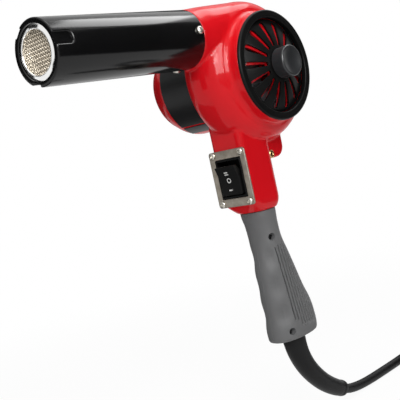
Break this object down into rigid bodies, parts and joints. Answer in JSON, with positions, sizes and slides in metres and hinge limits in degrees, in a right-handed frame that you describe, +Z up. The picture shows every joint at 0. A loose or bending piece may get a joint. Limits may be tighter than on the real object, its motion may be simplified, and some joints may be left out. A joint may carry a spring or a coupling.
{
  "type": "hot air tool",
  "caption": "Industrial hot air tool with a red blower, black barrel, motor drum, turning air damper with knob, rocker switch, grey grip and a mains lead with its plug, wound and tied.",
  "frame": {"origin": "middle of the grip, where the hand holds the tool", "axes": "+Z up along the grip, -X the way the barrel points, +Y along the fan axis towards the motor"},
  "size_m": [0.5359, 0.209, 0.3864],
  "materials": {
    "red_paint": "gloss paint on a casting",
    "black_enamel": "gloss black enamel",
    "black_plastic": "satin black plastic",
    "knob_plastic": "dark grey moulded plastic",
    "grey_grip": "matt grey plastic",
    "band_film": "satin black film",
    "nickel_plate": "plain plated steel",
    "zinc_steel": "bright zinc",
    "polished_steel": "polished steel",
    "screen_wire": "heat-tinted wire",
    "plain_steel": "plain steel",
    "brass": "plain brass",
    "copper": null,
    "carbon": "carbon",
    "mica": "mica board",
    "fan_metal": "plain aluminium",
    "black_rubber": "satin black rubber"
  },
  "bodies": {
    "tool_body": {"blower_housing": "red_paint", "intake_grille": "red_paint", "intake_ring": "black_plastic", "damper_spindle": "zinc_steel", "barrel": "black_enamel", "mouth_ring": "polished_steel", "outlet_screen": "screen_wire", "heat_liner": "plain_steel", "heater_former": "mica", "heater_coil": "screen_wire", "barrel_screw_1": "zinc_steel", "barrel_screw_2": "zinc_steel", "barrel_screw_3": "zinc_steel", "motor_cover": "red_paint", "rating_band": "band_film", "rating_band_lower": "band_film", "cover_screw_1": "zinc_steel", "cover_screw_2": "zinc_steel", "cover_screw_3": "zinc_steel", "motor_stator": "plain_steel", "field_coil_upper": "copper", "field_coil_lower": "copper", "front_bearing": "plain_steel", "rear_bearing": "plain_steel", "brush_holder_front": "brass", "brush_holder_rear": "brass", "carbon_brush_front": "carbon", "carbon_brush_rear": "carbon", "switch_plate": "nickel_plate", "plate_screw_1": "zinc_steel", "plate_screw_2": "zinc_steel", "plate_screw_3": "zinc_steel", "plate_screw_4": "zinc_steel", "switch_body": "black_plastic", "lug_rivet": "brass", "grip_half_intake_side": "grey_grip", "grip_half_motor_side": "grey_grip", "grip_screw_1": "plain_steel", "grip_screw_2": "plain_steel", "strain_relief": "black_rubber", "power_lead": "black_rubber", "lead_coil": "black_rubber", "coil_tie": "black_rubber", "plug_body": "black_rubber", "plug_blade_left": "brass", "plug_blade_right": "brass", "plug_earth_pin": "brass"},
    "rotor": {"motor_shaft": "plain_steel", "fan_impeller": "fan_metal", "fan_nut": "zinc_steel", "armature_core": "plain_steel", "armature_winding_front": "copper", "armature_winding_rear": "copper", "commutator": "copper"},
    "damper": {"air_damper": "black_plastic", "damper_knob": "knob_plastic"},
    "rocker": {"switch_rocker": "black_plastic"}
  },
  "joints": [
    {"name": "fan_spin", "type": "hinge", "parent": "tool_body", "child": "rotor", "pos_m": [0.014, 0, 0.18], "axis": [0, 1, 0], "continuous": true},
    {"name": "damper_turn", "type": "hinge", "parent": "tool_body", "child": "damper", "pos_m": [0.014, -0.04, 0.18], "axis": [0, 1, 0], "range_deg": [-3.5, 9.35]},
    {"name": "switch_rock", "type": "hinge", "parent": "tool_body", "child": "rocker", "pos_m": [-0.0222, 0, 0.0921], "axis": [0, 1, 0], "range_deg": [0, 18]}
  ]
}
